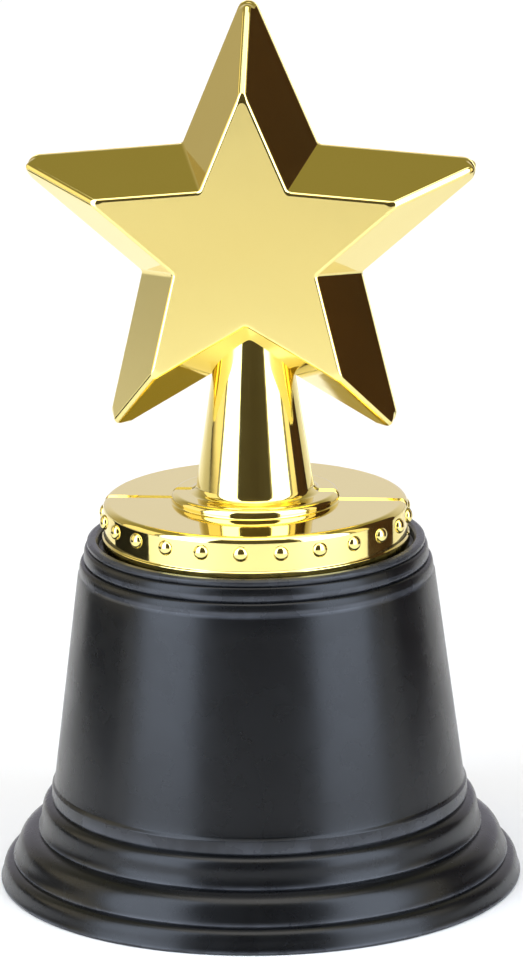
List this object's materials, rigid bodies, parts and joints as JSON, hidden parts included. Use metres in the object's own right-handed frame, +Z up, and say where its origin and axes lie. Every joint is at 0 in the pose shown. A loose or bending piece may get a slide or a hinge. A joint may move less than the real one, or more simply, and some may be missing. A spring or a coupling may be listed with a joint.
{
  "type": "star trophy",
  "caption": "Award trophy with a bevelled five-pointed metallised star on a tapered stem and beaded collar, on a black stepped bell base.",
  "frame": {"origin": "centre of the foot's underside, on the trophy's upright axis", "axes": "+Z up the trophy towards the star's top point, -Y out of the star's front face, +X to the right as seen from the front"},
  "size_m": [0.0708, 0.0708, 0.1207],
  "materials": {
    "gold_topper": "vacuum-metallised bright gold over moulded plastic",
    "black_base": "satin black moulded plastic",
    "black_cover": "matt black fine-grained plastic sheet",
    "zinc_steel": "bright zinc-plated steel",
    "ballast_steel": "plain punched steel plate"
  },
  "bodies": {
    "root": {"star_front_shell": "gold_topper", "star_back_shell": "gold_topper", "captive_nut": "zinc_steel", "base_bell": "black_base", "fixing_bolt": "zinc_steel", "flat_washer": "zinc_steel", "ballast_disc": "ballast_steel", "bottom_cover": "black_cover"}
  },
  "joints": []
}
